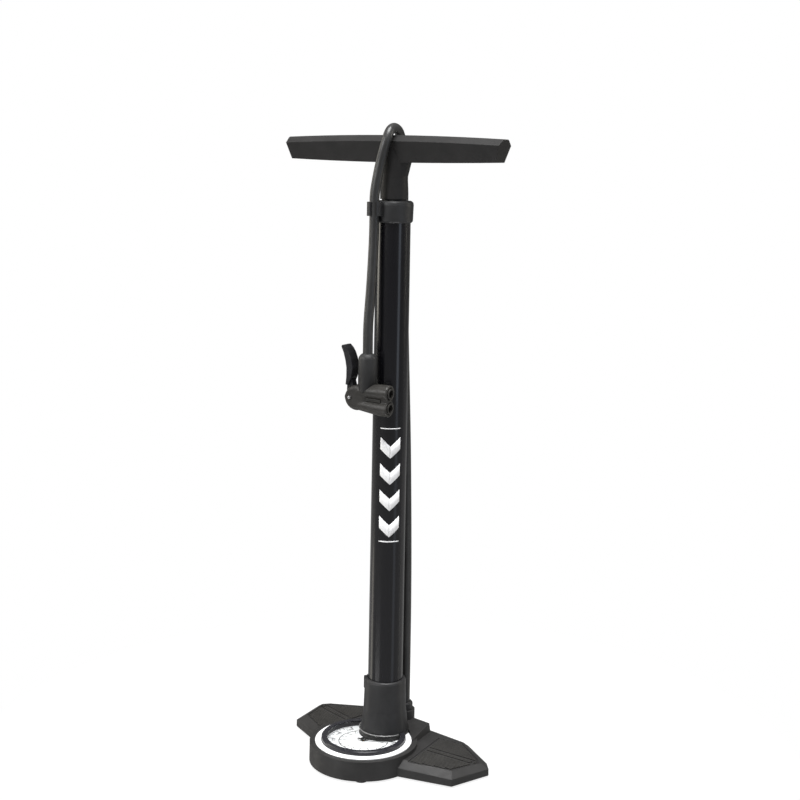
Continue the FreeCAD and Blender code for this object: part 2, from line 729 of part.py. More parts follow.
def hose():
    """Hose from the boss, up behind, over the grip and down in front to the pump head."""
    boss = number("boss_reach")
    split = number("hose_split")
    middle = number("clip_bottom") + number("clip_height") / 2
    boot = Vector(number("head_x") - 1, number("head_y") + 0.5, number("boot_top") - 12)
    top = number("loop_top")
    grip = number("grip_shoulder")
    rear = Vector(number("rear_clip_x"), number("rear_clip_y"), 0)
    front = Vector(number("front_clip_x"), -number("clip_reach"), 0)
    hose_run("hose_rear", [Vector(0, boss, number("boss_top") + 4.2), Vector(-0.2, boss - 0.3, 130),
                           Vector(-3.4, boss - 3, 330), rear + Vector(0.6, 0.6, 480),
                           rear + UP * (split - 0.1)])
    hose_run("hose_loop", [rear + UP * (split - 4), rear + Vector(-0.1, -1, split + 14),
                           Vector(-8.6, 21.6, grip - 20), Vector(-8.7, 20, grip), Vector(-7, 14.2, top - 4.2),
                           Vector(-1.2, 0, top), Vector(4.8, -13.6, top - 4), Vector(5.9, -19.8, grip),
                           Vector(1.2, -22, grip - 20), front + Vector(1.6, 0.9, split + 14),
                           front + UP * (split - 4)], split + 0.1)
    hose_run("hose_front", [front + UP * (split - 0.1), front + UP * middle, front + Vector(-0.1, 0, 520),
                            Vector(-3.6, -27.4, 475), boot + UP * 40, boot + UP * 15, boot])
    boss_spot = ("0", "boss_reach", "0")
    nut = lathe("hose_nut", [("hose_radius + 0.15", "boss_top"), ("boss_radius - 2.2", "boss_top"),
                             ("boss_radius - 2.2", "boss_top + 6"), ("boss_radius - 3.2", "boss_top + 7.5"),
                             ("hose_radius + 0.15", "boss_top + 7.5")])
    place(nut, boss_spot)
    barb = lathe("hose_tail", [("1.2", "20"), ("2.9", "20"), ("2.9", "boss_top"), ("hose_radius", "boss_top"),
                               ("hose_radius", "boss_top + 4"), ("hose_bore - 0.1", "boss_top + 4"),
                               ("hose_bore - 0.1", "boss_top + 16"), ("1.2", "boss_top + 16")])
    place(barb, boss_spot)


# ---------------------------------------------------------------- pump head

def head_turn():
    """The head hangs turned about Z and droops towards its outlets."""
    return Rotation(UP, number("head_turned")) * Rotation(Vector(0, 1, 0), number("head_droop"))


HEAD_SPOT = ("head_x", "head_y", "head_z")
OUTLETS = ("outlet_pitch / 2", "-outlet_pitch / 2")


def head_block(label, wanted):
    """Two outlet barrels side by side, tapering back into the round lever end."""
    body = new_body(label, wanted)
    for up, side in zip(OUTLETS, (1, -1)):
        back = circle_sketch(body, "YZ_Plane", "head_back - 2", [("0", f"{side} * taper_pitch / 2", "taper_radius")])
        start = circle_sketch(body, "YZ_Plane", "outlet_start", [("0", up, "outlet_barrel")])
        loft(body, [back, start], True)
        sketch = circle_sketch(body, "YZ_Plane", "outlet_start", [("0", up, "outlet_barrel")])
        pad(body, sketch, "head_front - outlet_start")
    web = [("-5.2", "-7"), ("5.2", "-7"), ("5.2", "7"), ("-5.2", "7")]
    pad(body, outline_sketch(body, "YZ_Plane", "head_back", web), "head_front - head_back - 4")
    knuckle = circle_sketch(body, "XZ_Plane", "0", [("head_back", "0.5", "knuckle_radius")])
    pad(body, knuckle, "2 * outlet_barrel - 1", middle=True)
    return body


def head_body():
    body = head_block("head_body", True)
    slot = [("head_back - 20", "-7.2"), ("-8", "-7.2"), ("-8", "20"), ("head_back - 20", "20")]
    pocket(body, outline_sketch(body, "XZ_Plane", "0", slot), "slot_width", middle=True)
    hole = circle_sketch(body, "XZ_Plane", "0", [("pin_x", "pin_z", "pin_radius")])
    pocket(body, hole, "40", middle=True)
    for up in OUTLETS:
        bore = circle_sketch(body, "YZ_Plane", "head_front - 15", [("0", up, "5.5")])
        pocket(body, bore, "30", reverse=True)
    place(body, HEAD_SPOT, head_turn())


def outlet_parts():
    """A screwed ring and a rubber grommet in each outlet."""
    rings = []
    grommets = []
    for index, up in enumerate(OUTLETS):
        hole = ("3.9", "2.9")[index]
        for kind, outer, inner, back, length, kept in (
                ("ring", "5.4", "4.1", "head_front - 3", "4.2", rings),
                ("grommet", "5.2", hole, "head_front - 14.5", "11", grommets)):
            body = new_body(f"{kind}_{index}", False)
            tube = circle_sketch(body, "YZ_Plane", back, [("0", up, outer), ("0", up, inner)])
            pad(body, tube, length)
            place(body, HEAD_SPOT, head_turn())
            kept.append(body)
    gather("outlet_rings", "Compound", rings)
    gather("outlet_grommets", "Compound", grommets)


def lever_pin():
    body = new_body("lever_pin")
    sketch = circle_sketch(body, "XZ_Plane", "0", [("pin_x", "pin_z", "pin_radius - running_gap")])
    pad(body, sketch, "2 * outlet_barrel + 0.6", middle=True)
    place(body, HEAD_SPOT, head_turn())


def from_pin(spots):
    """Outline corners given from the lever's pin."""
    return [(f"pin_x + {across}", f"pin_z + {up}") for across, up in spots]


def thumb_lever():
    """Lever with an eccentric knuckle on the pin and an S-shaped thumb blade."""
    body = new_body("thumb_lever")
    cam = circle_sketch(body, "XZ_Plane", "0", [("pin_x - cam_offset", "pin_z", "cam_radius")])
    pad(body, cam, "slot_width - 0.4", middle=True)
    neck = [(-5.4, 0), (3, 2), (1.5, 12), (-0.5, 18), (-5.4, 18), (-5.6, 12)]
    pad(body, outline_sketch(body, "XZ_Plane", "0", from_pin(neck)), "slot_width - 0.4", middle=True)
    blade = from_pin([(-5.8, 12), (-3, 12), (0.3, 20), (1.6, 29), (-0.4, 38), (-3, 44), (-6, 48.2), (-9.4, 51.2),
                      (-11.8, 51), (-12.4, 49.4), (-9.7, 44), (-7.3, 37), (-5.6, 29), (-5.3, 20)])
    pad(body, outline_sketch(body, "XZ_Plane", "0", blade), "lever_width", middle=True)
    hole = circle_sketch(body, "XZ_Plane", "0", [("pin_x", "pin_z", "pin_radius")])
    pocket(body, hole, "40", middle=True)
    place(body, HEAD_SPOT, head_turn())


def cam_slider():
    """Follower that the lever's eccentric pushes against the grommets."""
    body = new_body("cam_slider")
    face = "pin_x - cam_offset + cam_radius + 0.1"
    outline = [(face, "-6"), (f"{face} + 3.2", "-6"), (f"{face} + 3.2", "6"), (face, "6")]
    pad(body, outline_sketch(body, "XZ_Plane", "0", outline), "slot_width - 0.2", middle=True)
    place(body, HEAD_SPOT, head_turn())


def head_boot():
    """Boot around the hose end; its lower rim is cut to a point and saddles the head."""
    body = new_body("boot_blank", False)
    shoulder = "boot_top - head_z"
    revolve(body, [("0", "-4"), ("boot_radius", "-4"), ("boot_radius", f"{shoulder} - 5.6"),
                   ("boot_radius - 0.8", f"{shoulder} - 3.2"), ("boot_radius - 2.2", f"{shoulder} - 1.2"),
                   ("boot_radius - 3.8", shoulder), ("0", shoulder)])
    for side in (1, -1):
        corner = [(f"{side} * 0.5", "-6"), (f"{side} * 0.5", "6"), (f"{side} * 12", "15"), (f"{side} * 12", "-6")]
        pocket(body, outline_sketch(body, "XZ_Plane", "0", corner), "40", middle=True)
    bore = circle_sketch(body, "XY_Plane", "17", [("0", "0", "hose_radius + 0.3")])
    pocket(body, bore, "60", reverse=True)
    place(body, ("head_x - 1", "head_y + 0.5", "head_z"), Rotation(UP, number("head_turned")))
    envelope = head_block("head_envelope", False)
    place(envelope, HEAD_SPOT, head_turn())
    combine("head_boot", "Cut", body, envelope)
    barb = lathe("head_barb", [("1.2", "16.2"), ("4.5", "16.2"), ("4.5", "16.9"), ("hose_bore - 0.1", "16.9"),
                               ("hose_bore - 0.1", "40"), ("1.2", "40")])
    place(barb, ("head_x - 1", "head_y + 0.5", "head_z + 1"))


# ---------------------------------------------------------------- build, test and write

for build in (base_foot, base_pads, base_screws, barrel_socket, barrel_tube, foot_plug, plug_seal, check_valve,
              top_collar, rod_bush, plunger_rod, piston, handle, gauge_case, gauge_movement, gauge_pointer, hose,
              head_body, outlet_parts, lever_pin, thumb_lever, cam_slider, head_boot):
    build()
doc.recompute()

for thing in doc.Objects:
    if "Invalid" in thing.State or "Error" in thing.State:
        raise RuntimeError(f"{thing.Label} did not compute")
for label, thing in pieces.items():
    if thing.Shape.isNull() or not thing.Shape.isValid() or not thing.Shape.Solids:
        raise RuntimeError(f"{label} has no valid solid")

os.makedirs("parts", exist_ok=True)
for label, thing in pieces.items():
    thing.Shape.exportStep(os.path.join("parts", f"{label}.step"))
print(len(pieces), "sub-parts")
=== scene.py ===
import json
import math
import bmesh
import bpy
from mathutils import Matrix, Vector
from mathutils.bvhtree import BVHTree


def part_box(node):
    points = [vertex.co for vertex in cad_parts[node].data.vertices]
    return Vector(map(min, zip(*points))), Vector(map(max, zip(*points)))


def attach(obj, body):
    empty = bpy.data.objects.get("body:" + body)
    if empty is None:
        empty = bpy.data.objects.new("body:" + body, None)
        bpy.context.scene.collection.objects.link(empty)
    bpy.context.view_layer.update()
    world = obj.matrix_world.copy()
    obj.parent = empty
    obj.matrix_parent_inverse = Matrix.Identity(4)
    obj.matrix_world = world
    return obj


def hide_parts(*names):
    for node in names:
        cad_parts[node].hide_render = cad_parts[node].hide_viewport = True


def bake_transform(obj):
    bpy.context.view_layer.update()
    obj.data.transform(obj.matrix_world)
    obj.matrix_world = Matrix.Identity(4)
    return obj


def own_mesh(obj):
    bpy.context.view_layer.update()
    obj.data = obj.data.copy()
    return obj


# Floor bike pump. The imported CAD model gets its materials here, and the hose, the skin of the pump head, the
# check valve's spring, the tread, the gauge's print and the barrel's mark are built over it.
# Named sizes are in millimetres, and MM turns them into Blender's metres. The floor, the lights, the camera,
# the dial's centre and whatever is passed to a mesh helper are in metres.

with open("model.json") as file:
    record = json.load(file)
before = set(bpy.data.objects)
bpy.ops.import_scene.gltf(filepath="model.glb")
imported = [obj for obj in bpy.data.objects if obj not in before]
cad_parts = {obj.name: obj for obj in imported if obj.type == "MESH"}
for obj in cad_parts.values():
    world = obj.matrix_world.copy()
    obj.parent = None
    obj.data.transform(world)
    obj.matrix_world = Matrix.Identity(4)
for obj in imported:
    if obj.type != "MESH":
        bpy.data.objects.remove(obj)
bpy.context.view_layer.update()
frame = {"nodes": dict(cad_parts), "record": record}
NODES = frame["nodes"]
MM = 0.001
UP = Vector((0, 0, 1))
CAMERA_TURN = math.radians(41)


def box_mm(node):
    """A node's lowest and highest corners at rest, in millimetres."""
    return [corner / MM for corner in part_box(node)]


# ---------------------------------------------------------------- node helpers

def new_material(name):
    """A node material with its tree and its main shader."""
    material = bpy.data.materials.new(name)
    material.use_nodes = True
    tree = material.node_tree
    shader = tree.nodes["Principled BSDF"]
    return material, tree, shader


def add(tree, kind, **values):
    """A shader node with its properties and its inputs' values set by name."""
    node = tree.nodes.new(kind)
    for key, value in values.items():
        if hasattr(node, key):
            setattr(node, key, value)
        else:
            node.inputs[key.replace("_", " ")].default_value = value
    return node


def noise(tree, scale, detail=3.0, stretch=(1, 1, 1)):
    """Object-space noise; scale is in features per metre."""
    where = add(tree, "ShaderNodeTexCoord")
    mapping = add(tree, "ShaderNodeMapping")
    mapping.inputs["Scale"].default_value = stretch
    texture = add(tree, "ShaderNodeTexNoise", Scale=scale, Detail=detail)
    tree.links.new(where.outputs["Object"], mapping.inputs["Vector"])
    tree.links.new(mapping.outputs["Vector"], texture.inputs["Vector"])
    return texture.outputs["Fac"]


def ramp(tree, source, low, high, start=0.3, stop=0.7):
    """Maps a 0-1 value to a gradual mix of two colours or two greys."""
    node = add(tree, "ShaderNodeValToRGB")
    node.color_ramp.elements[0].position = start
    node.color_ramp.elements[1].position = stop
    node.color_ramp.elements[0].color = as_colour(low)
    node.color_ramp.elements[1].color = as_colour(high)
    tree.links.new(source, node.inputs["Fac"])
    return node.outputs["Color"]


def as_colour(value):
    """A grey or a colour with full alpha."""
    if isinstance(value, (int, float)):
        return (value, value, value, 1)
    return (*value, 1)


def scaled(colour, factor):
    """A colour made lighter or darker."""
    return tuple(min(1.0, part * factor) for part in colour)


def edge_mask(tree, radius):
    """White on convex and concave edges: where the bevelled normal leaves the true one."""
    bevel = add(tree, "ShaderNodeBevel", samples=4)
    bevel.inputs["Radius"].default_value = radius
    geometry = add(tree, "ShaderNodeNewGeometry")
    dot = add(tree, "ShaderNodeVectorMath", operation="DOT_PRODUCT")
    tree.links.new(bevel.outputs["Normal"], dot.inputs[0])
    tree.links.new(geometry.outputs["Normal"], dot.inputs[1])
    invert = add(tree, "ShaderNodeMath", operation="SUBTRACT")
    invert.inputs[0].default_value = 1.0
    tree.links.new(dot.outputs["Value"], invert.inputs[1])
    return bevel.outputs["Normal"], invert.outputs["Value"]


def blend_colours(tree, mask, low, high):
    """Mixes two colours or colour sockets; 6, 7 and 2 are the Mix node's sockets for colour."""
    mix = add(tree, "ShaderNodeMix", data_type="RGBA")
    tree.links.new(mask, mix.inputs["Factor"])
    for index, value in ((6, low), (7, high)):
        if hasattr(value, "is_linked"):
            tree.links.new(value, mix.inputs[index])
        else:
            mix.inputs[index].default_value = as_colour(value)
    return mix.outputs[2]


def grain(tree, shader, scale, depth, normal=None, stretch=(1, 1, 1)):
    """Fine surface grain as bump; depth in metres."""
    bump = add(tree, "ShaderNodeBump", Strength=0.6, Distance=depth)
    tree.links.new(noise(tree, scale, 2.0, stretch), bump.inputs["Height"])
    if normal is not None:
        tree.links.new(normal, bump.inputs["Normal"])
    tree.links.new(bump.outputs["Normal"], shader.inputs["Normal"])


def moulded(name, colour, rough, grit=1400, depth=0.06, edge=0.7, edge_highlight=1.6, shine=0.28):
    """Moulded plastic or rubber: mottled colour, fine grain, soft edges with a painted highlight that lightens
    their colour.

    grit is the grain's features per metre and depth its bump; edge is the radius of the soft edges, and the
    factor after it lightens their colour as a painted highlight; shine is the specular level. Depth and edge
    are in millimetres.
    """
    material, tree, shader = new_material(name)
    mottled = ramp(tree, noise(tree, 45, 4.0), scaled(colour, 0.82), scaled(colour, 1.2))
    normal, mask = edge_mask(tree, edge * MM)
    # Painted highlight: the colour is made lighter along every convex and concave edge.
    highlight_edges = ramp(tree, mask, 0.0, 1.0, 0.01, 0.25)
    base = blend_colours(tree, highlight_edges, mottled, scaled(colour, edge_highlight))
    tree.links.new(base, shader.inputs["Base Color"])
    handled = ramp(tree, noise(tree, 160, 3.0), rough - 0.06, rough + 0.07)
    tree.links.new(handled, shader.inputs["Roughness"])
    shader.inputs["Specular IOR Level"].default_value = shine
    grain(tree, shader, grit, depth * MM, normal)
    return material


def metal(name, colour, rough, stretch=(1, 1, 1)):
    """Turned or drawn metal with fine lines and slight tarnish."""
    material, tree, shader = new_material(name)
    shader.inputs["Metallic"].default_value = 1.0
    base = ramp(tree, noise(tree, 120, 4.0), scaled(colour, 0.8), scaled(colour, 1.05))
    tree.links.new(base, shader.inputs["Base Color"])
    lines = ramp(tree, noise(tree, 900, 2.0, stretch), rough * 0.7, rough * 1.4)
    tree.links.new(lines, shader.inputs["Roughness"])
    normal, _ = edge_mask(tree, 0.2 * MM)
    grain(tree, shader, 2500, 0.01 * MM, normal, stretch)
    return material


def gloss_paint(name, colour):
    """Powder coat under a gloss: faint orange peel, dust in the roughness, a clear coat on top."""
    material, tree, shader = new_material(name)
    base = ramp(tree, noise(tree, 30, 3.0, (1, 1, 0.15)), scaled(colour, 0.8), scaled(colour, 1.3))
    tree.links.new(base, shader.inputs["Base Color"])
    dust = ramp(tree, noise(tree, 60, 2.0, (1, 1, 0.2)), 0.23, 0.28)
    tree.links.new(dust, shader.inputs["Roughness"])
    shader.inputs["Specular IOR Level"].default_value = 0.2
    shader.inputs["Coat Weight"].default_value = 0.55
    shader.inputs["Coat Roughness"].default_value = 0.09
    normal, _ = edge_mask(tree, 0.3 * MM)
    grain(tree, shader, 350, 0.003 * MM, normal, (1, 1, 0.6))
    return material


def printed(name, colour, rough=0.5):
    """Ink or card: an even tone with slight mottling and a paper-fine grain."""
    material, tree, shader = new_material(name)
    base = ramp(tree, noise(tree, 300, 3.0), scaled(colour, 0.95), scaled(colour, 1.04))
    tree.links.new(base, shader.inputs["Base Color"])
    uneven = ramp(tree, noise(tree, 500, 2.0), rough - 0.05, rough + 0.05)
    tree.links.new(uneven, shader.inputs["Roughness"])
    grain(tree, shader, 3000, 0.008 * MM)
    return material


def clear(name, tint, strength):
    """Thin clear plastic: see-through, with a faint haze and a reflection that grows at glancing angles."""
    material, tree, _ = new_material(name)
    tree.nodes.clear()
    output = add(tree, "ShaderNodeOutputMaterial")
    through = add(tree, "ShaderNodeBsdfTransparent", Color=as_colour(tint))
    gloss = add(tree, "ShaderNodeBsdfGlossy")
    haze = ramp(tree, noise(tree, 250, 4.0), 0.03, 0.1)
    tree.links.new(haze, gloss.inputs["Roughness"])
    facing = add(tree, "ShaderNodeLayerWeight", Blend=0.5)
    power = add(tree, "ShaderNodeMath", operation="POWER")
    power.inputs[1].default_value = 4.0
    scale = add(tree, "ShaderNodeMath", operation="MULTIPLY_ADD")
    scale.inputs[1].default_value = strength
    scale.inputs[2].default_value = 0.03
    tree.links.new(facing.outputs["Facing"], power.inputs[0])
    tree.links.new(power.outputs["Value"], scale.inputs[0])
    mix = add(tree, "ShaderNodeMixShader")
    tree.links.new(scale.outputs["Value"], mix.inputs["Fac"])
    tree.links.new(through.outputs["BSDF"], mix.inputs[1])
    tree.links.new(gloss.outputs["BSDF"], mix.inputs[2])
    tree.links.new(mix.outputs["Shader"], output.inputs["Surface"])
    return material


# ---------------------------------------------------------------- finishes

CHARCOAL = (0.0215, 0.021, 0.021)
BLACK = (0.018, 0.018, 0.019)
ALONG_BARREL = (1, 1, 0.03)

FINISHES = {
    "foot_plastic": moulded("foot_plastic", CHARCOAL, 0.5, grit=1100, depth=0.08, edge=0.9),
    "socket_plastic": moulded("socket_plastic", (0.022, 0.022, 0.023), 0.44, grit=1300, depth=0.05),
    "handle_plastic": moulded("handle_plastic", (0.019, 0.0185, 0.0185), 0.5,
                              grit=1200, edge=0.8, shine=0.18),
    "head_plastic": moulded("head_plastic", (0.028, 0.0265, 0.0245), 0.4, grit=1500, depth=0.04, edge=0.6),
    "lever_plastic": moulded("lever_plastic", (0.012, 0.012, 0.014), 0.4, grit=1500, depth=0.04, edge=0.8),
    "boot_rubber": moulded("boot_rubber", (0.022, 0.022, 0.0225), 0.5, grit=1200),
    "hose_rubber": moulded("hose_rubber", (0.024, 0.024, 0.024), 0.36,
                           grit=1700, depth=0.01, edge=0.2, shine=0.45),
    "pad_rubber": moulded("pad_rubber", BLACK, 0.8, grit=900, depth=0.1),
    "seal_rubber": moulded("seal_rubber", BLACK, 0.6, grit=1500, depth=0.04, edge=0.3),
    "bezel_plastic": moulded("bezel_plastic", (0.016, 0.016, 0.02), 0.26, grit=900, depth=0.01, edge=0.5),
    "accent_white": moulded("accent_white", (0.86, 0.86, 0.88), 0.3,
                            grit=900, depth=0.01, edge=0.4, edge_highlight=1.0),
    "white_nylon": moulded("white_nylon", (0.7, 0.69, 0.64), 0.5,
                           grit=900, depth=0.03, edge=0.4, edge_highlight=1.05),
    "barrel_paint": gloss_paint("barrel_paint", (0.0045, 0.0045, 0.006)),
    "dial_white": printed("dial_white", (0.88, 0.88, 0.89), 0.45),
    "lens_clear": clear("lens_clear", (0.985, 0.99, 0.99), 0.2),
    "pointer_black": moulded("pointer_black", (0.01, 0.01, 0.01), 0.4, grit=1500, depth=0.01, edge=0.1),
    "brass": metal("brass", (0.72, 0.52, 0.22), 0.3),
    "zinc_steel": metal("zinc_steel", (0.75, 0.75, 0.77), 0.25),
    "spring_steel": metal("spring_steel", (0.6, 0.6, 0.62), 0.3),
    "rod_steel": metal("rod_steel", (0.8, 0.81, 0.83), 0.12, ALONG_BARREL),
}
INK = printed("dial_ink", (0.012, 0.012, 0.014))
DECAL = printed("barrel_mark_white", (0.92, 0.92, 0.93), 0.35)
TREAD = moulded("tread_plastic", (0.027, 0.026, 0.0245), 0.62, grit=900, depth=0.1, edge=0.4)
LIP = moulded("window_lip_clear", (0.2, 0.2, 0.2), 0.2, grit=700, depth=0.01, edge=0.3, edge_highlight=1.1, shine=0.5)


def finish_cad():
    """Gives every CAD node the finish of its material slot."""
    for entry in frame["record"]["subparts"]:
        node = NODES[entry["node"]]
        node.data.materials.clear()
        node.data.materials.append(FINISHES[entry["material_slot"]])


# ---------------------------------------------------------------- mesh helpers

def make_piece(name, mesh_maker, material, body, smooth=True):
    """A mesh object filled by mesh_maker(bm), finished and put on its body, or left without one when no body
    is given.
    """
    bm = bmesh.new()
    mesh_maker(bm)
    bmesh.ops.recalc_face_normals(bm, faces=bm.faces)
    mesh = bpy.data.meshes.new(name)
    bm.to_mesh(mesh)
    bm.free()
    for face in mesh.polygons:
        face.use_smooth = smooth
    piece = bpy.data.objects.new(name, mesh)
    bpy.context.scene.collection.objects.link(piece)
    mesh.materials.append(material)
    if body:
        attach(piece, body)
    return piece


def add_prism(bm, lower, upper):
    """A closed prism between two loops with the same number of points."""
    low = [bm.verts.new(point) for point in lower]
    high = [bm.verts.new(point) for point in upper]
    count = len(low)
    bm.faces.new(list(reversed(low)))
    bm.faces.new(high)
    for index in range(count):
        after = (index + 1) % count
        bm.faces.new((low[index], low[after], high[after], high[index]))


def add_tube(bm, centres, radius, count=40):
    """Skins a round tube along a path, with closed ends."""
    rings = []
    side = None
    for index, centre in enumerate(centres):
        ahead = centres[min(index + 1, len(centres) - 1)] - centres[max(index - 1, 0)]
        ahead.normalize()
        if side is None:
            side = ahead.orthogonal().normalized()
        side = (side - ahead * side.dot(ahead)).normalized()
        other = ahead.cross(side)
        ring = []
        for step in range(count):
            angle = 2 * math.pi * step / count
            ring.append(centre + radius * (math.cos(angle) * side + math.sin(angle) * other))
        rings.append(ring)
    skin_sections(bm, rings)


def skin_sections(bm, sections):
    """Joins rings of equally many points into a closed skin."""
    rings = [[bm.verts.new(point) for point in section] for section in sections]
    for low, high in zip(rings, rings[1:]):
        for index in range(len(low)):
            after = (index + 1) % len(low)
            bm.faces.new((low[index], low[after], high[after], high[index]))
    bm.faces.new(list(reversed(rings[0])))
    bm.faces.new(rings[-1])


def cut_piece(piece, cutter_maker):
    """Takes a second mesh out of a piece's mesh."""
    bm = bmesh.new()
    cutter_maker(bm)
    bmesh.ops.recalc_face_normals(bm, faces=bm.faces)
    mesh = bpy.data.meshes.new("cutter")
    bm.to_mesh(mesh)
    bm.free()
    cutter = bpy.data.objects.new("cutter", mesh)
    bpy.context.scene.collection.objects.link(cutter)
    cut = piece.modifiers.new("cut", "BOOLEAN")
    cut.operation = "DIFFERENCE"
    cut.object = cutter
    bpy.context.view_layer.update()
    result = bpy.data.meshes.new_from_object(piece.evaluated_get(bpy.context.evaluated_depsgraph_get()))
    piece.modifiers.remove(cut)
    piece.data = result
    result.name = piece.name
    bpy.data.objects.remove(cutter)
    bpy.data.meshes.remove(mesh)


def smooth_path(points, spacing):
    """Points along a centripetal Catmull-Rom curve through the given points."""
    padded = [2 * points[0] - points[1], *points, 2 * points[-1] - points[-2]]
    path = []
    for p0, p1, p2, p3 in zip(padded, padded[1:], padded[2:], padded[3:]):
        t1 = math.sqrt((p1 - p0).length)
        t2 = t1 + math.sqrt((p2 - p1).length)
        t3 = t2 + math.sqrt((p3 - p2).length)
        count = max(2, int((p2 - p1).length / spacing))
        for step in range(count):
            t = t1 + (t2 - t1) * step / count
            a1 = p0 * ((t1 - t) / t1) + p1 * (t / t1)
            a2 = p1 * ((t2 - t) / (t2 - t1)) + p2 * ((t - t1) / (t2 - t1))
            a3 = p2 * ((t3 - t) / (t3 - t2)) + p3 * ((t - t2) / (t3 - t2))
            b1 = a1 * ((t2 - t) / t2) + a2 * (t / t2)
            b2 = a2 * ((t3 - t) / (t3 - t1)) + a3 * ((t - t1) / (t3 - t1))
            path.append(b1 * ((t2 - t) / (t2 - t1)) + b2 * ((t - t1) / (t2 - t1)))
    path.append(points[-1].copy())
    return path


# ---------------------------------------------------------------- hose

# The two clips hold the hose upright from CLIP_FOOT to the split where the loop begins.
HOSE_RADIUS = 5
HOSE_SKIN = 0.995 * HOSE_RADIUS
HOSE_SPACING = 3
CLIP_REAR = (-8, 24)
CLIP_FRONT = (-3.3, -25.2)
CLIP_FOOT = 548
SHOULDER_DROP = 6.3


def rear_run(split):
    """The hose's centre line from the boss on the foot up through the rear clip."""
    low, high = box_mm("hose_rear")
    boss = high.y - HOSE_RADIUS
    return [(0, boss, low.z), (0, boss, 90), (-0.3, boss - 0.6, 180), (-2.5, boss - 2.2, 300),
            (-5.3, boss - 4.6, 400), (-7.8, 24.3, 500), (*CLIP_REAR, CLIP_FOOT), (*CLIP_REAR, split)]


def loop_run(split, top):
    """The centre line over the grip, from the rear clip to the front one."""
    shoulder = box_mm("handle")[1].z - SHOULDER_DROP
    return [(-8.1, 23, split + 14), (-8.6, 21.6, shoulder - 20), (-8.7, 20, shoulder), (-7, 14.2, top - 4.2),
            (-1.2, 0, top), (4.8, -13.6, top - 4), (5.9, -19.8, shoulder), (1.2, -22, shoulder - 20),
            (-1.7, -24.3, split + 14)]


def front_run(split):
    """The centre line from the front clip down into the pump head's boot."""
    end = box_mm("hose_front")[0].z
    boot_low, boot_high = box_mm("head_boot")
    boot = (boot_low.x + boot_high.x) / 2, (boot_low.y + boot_high.y) / 2
    return [(*CLIP_FRONT, split), (*CLIP_FRONT, CLIP_FOOT), (-3.4, -25.2, 520), (-3.6, -27.4, 475),
            (*boot, end + 40), (*boot, end + 15), (*boot, end + 0.5)]


def build_hose():
    """One continuous hose: up behind the barrel, over the grip and down to the head.

    On the pump the loop rides up with the grip; here the hose is one fixed mesh without a body.
    """
    loop_low, loop_high = box_mm("hose_loop")
    split = loop_low.z
    route = rear_run(split) + loop_run(split, loop_high.z - HOSE_RADIUS) + front_run(split)
    path = smooth_path([Vector(point) * MM for point in route], HOSE_SPACING * MM)

    def fill(bm):
        add_tube(bm, path, HOSE_SKIN * MM)
    hose = make_piece("hose", fill, FINISHES["hose_rubber"], None)
    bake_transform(hose)
    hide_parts("hose_rear", "hose_loop", "hose_front")


# ---------------------------------------------------------------- check valve

SPRING_WIRE = 0.4
SPRING_TURNS = 5
SPRING_STEPS = 32


def build_valve_spring():
    """Coil spring of the check valve; the opening disc presses it onto its fixed lower end."""
    low, high = box_mm("check_valve_spring")
    coil = (high.x - low.x) / 2 - SPRING_WIRE
    tall = high.z - low.z
    total = SPRING_TURNS * SPRING_STEPS
    path = []
    for step in range(total + 1):
        angle = 2 * math.pi * step / SPRING_STEPS
        level = low.z + SPRING_WIRE + (tall - 2 * SPRING_WIRE) * step / total
        path.append(Vector((coil * math.cos(angle), coil * math.sin(angle), level)) * MM)

    def fill(bm):
        add_tube(bm, path, 0.95 * SPRING_WIRE * MM, 12)
    spring = make_piece("valve_spring", fill, FINISHES["spring_steel"], "base")
    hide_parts("check_valve_spring")
    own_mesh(spring)


# ---------------------------------------------------------------- pump head

# The head has its own frame: x runs from the lever's end to the outlets, y across, z up to the hose.
# WELL_OUT is a distance well outside the casing. BOOT_SHOULDER pairs radii with drops below the boot's top.
# BAR_FOOT and BAR_FACE give y, both ends in x and half the height.
HEAD_SPOT = Vector((-3, -31, 359.3))
HEAD_TURN = Matrix.Rotation(math.radians(11.5), 4, "Z") @ Matrix.Rotation(math.radians(1.5), 4, "Y")
HEAD_PLACE = Matrix.Translation(HEAD_SPOT * MM) @ HEAD_TURN
HEAD_ROUND = 96
HEAD_STEP = 0.7
HEAD_FRONT = 26.0
FRONT_CHAMFER = 0.5
FRONT_SHRINK = 0.965
KNUCKLE_X = -10.2
KNUCKLE_RADIUS = 12.6
KNUCKLE_HALF = 6.9
KNUCKLE_THINNING = 0.14
OUTLET_RADIUS = 8.4
OUTLET_UP = 7.25
OUTLET_BORE = 5.5
BORE_START = 11
LOBE_LENGTH = 26
LOBE_HIGH = 6
LOBE_WIDE = 6.4
WIDEN_FROM = -18
WEB_WIDE = 5.2
WEB_HIGH = 7
LEVER_SLOT_HALF = 4
LEVER_SLOT_FLOOR = -7.2
LEVER_SLOT_END = -8
LEVER_SLOT_TOP = 20
WELL_OUT = 40
BOOT_ROUND = 72
BOOT_ASIDE = Vector((-1, 0.5, 0))
BOOT_RIM_RADIUS = 9.3
BOOT_RIM_HEIGHT = 6.2
BOOT_RIM_CHAMFER = 0.3
RIM_SLOPE_REAR = 0.57
RIM_SLOPE_FRONT = 0.85
BOOT_SHOULDER = ((9.3, 5.6), (9.1, 4.4), (8.6, 3.2), (7.9, 2.1), (7.1, 1.2), (6.2, 0.4), (5.2, 0))
BAR_FOOT = (-4.8, -1, 19, 1.7)
BAR_FACE = (-6.2, -0.6, 18.6, 1.3)


def in_head(x, y, z):
    """A point of the head's own frame, placed in the scene."""
    return HEAD_PLACE @ (Vector((x, y, z)) * MM)


def ease(value):
    """0 to 1 with level ends."""
    value = min(1.0, max(0.0, value))
    return value * value * (3 - 2 * value)


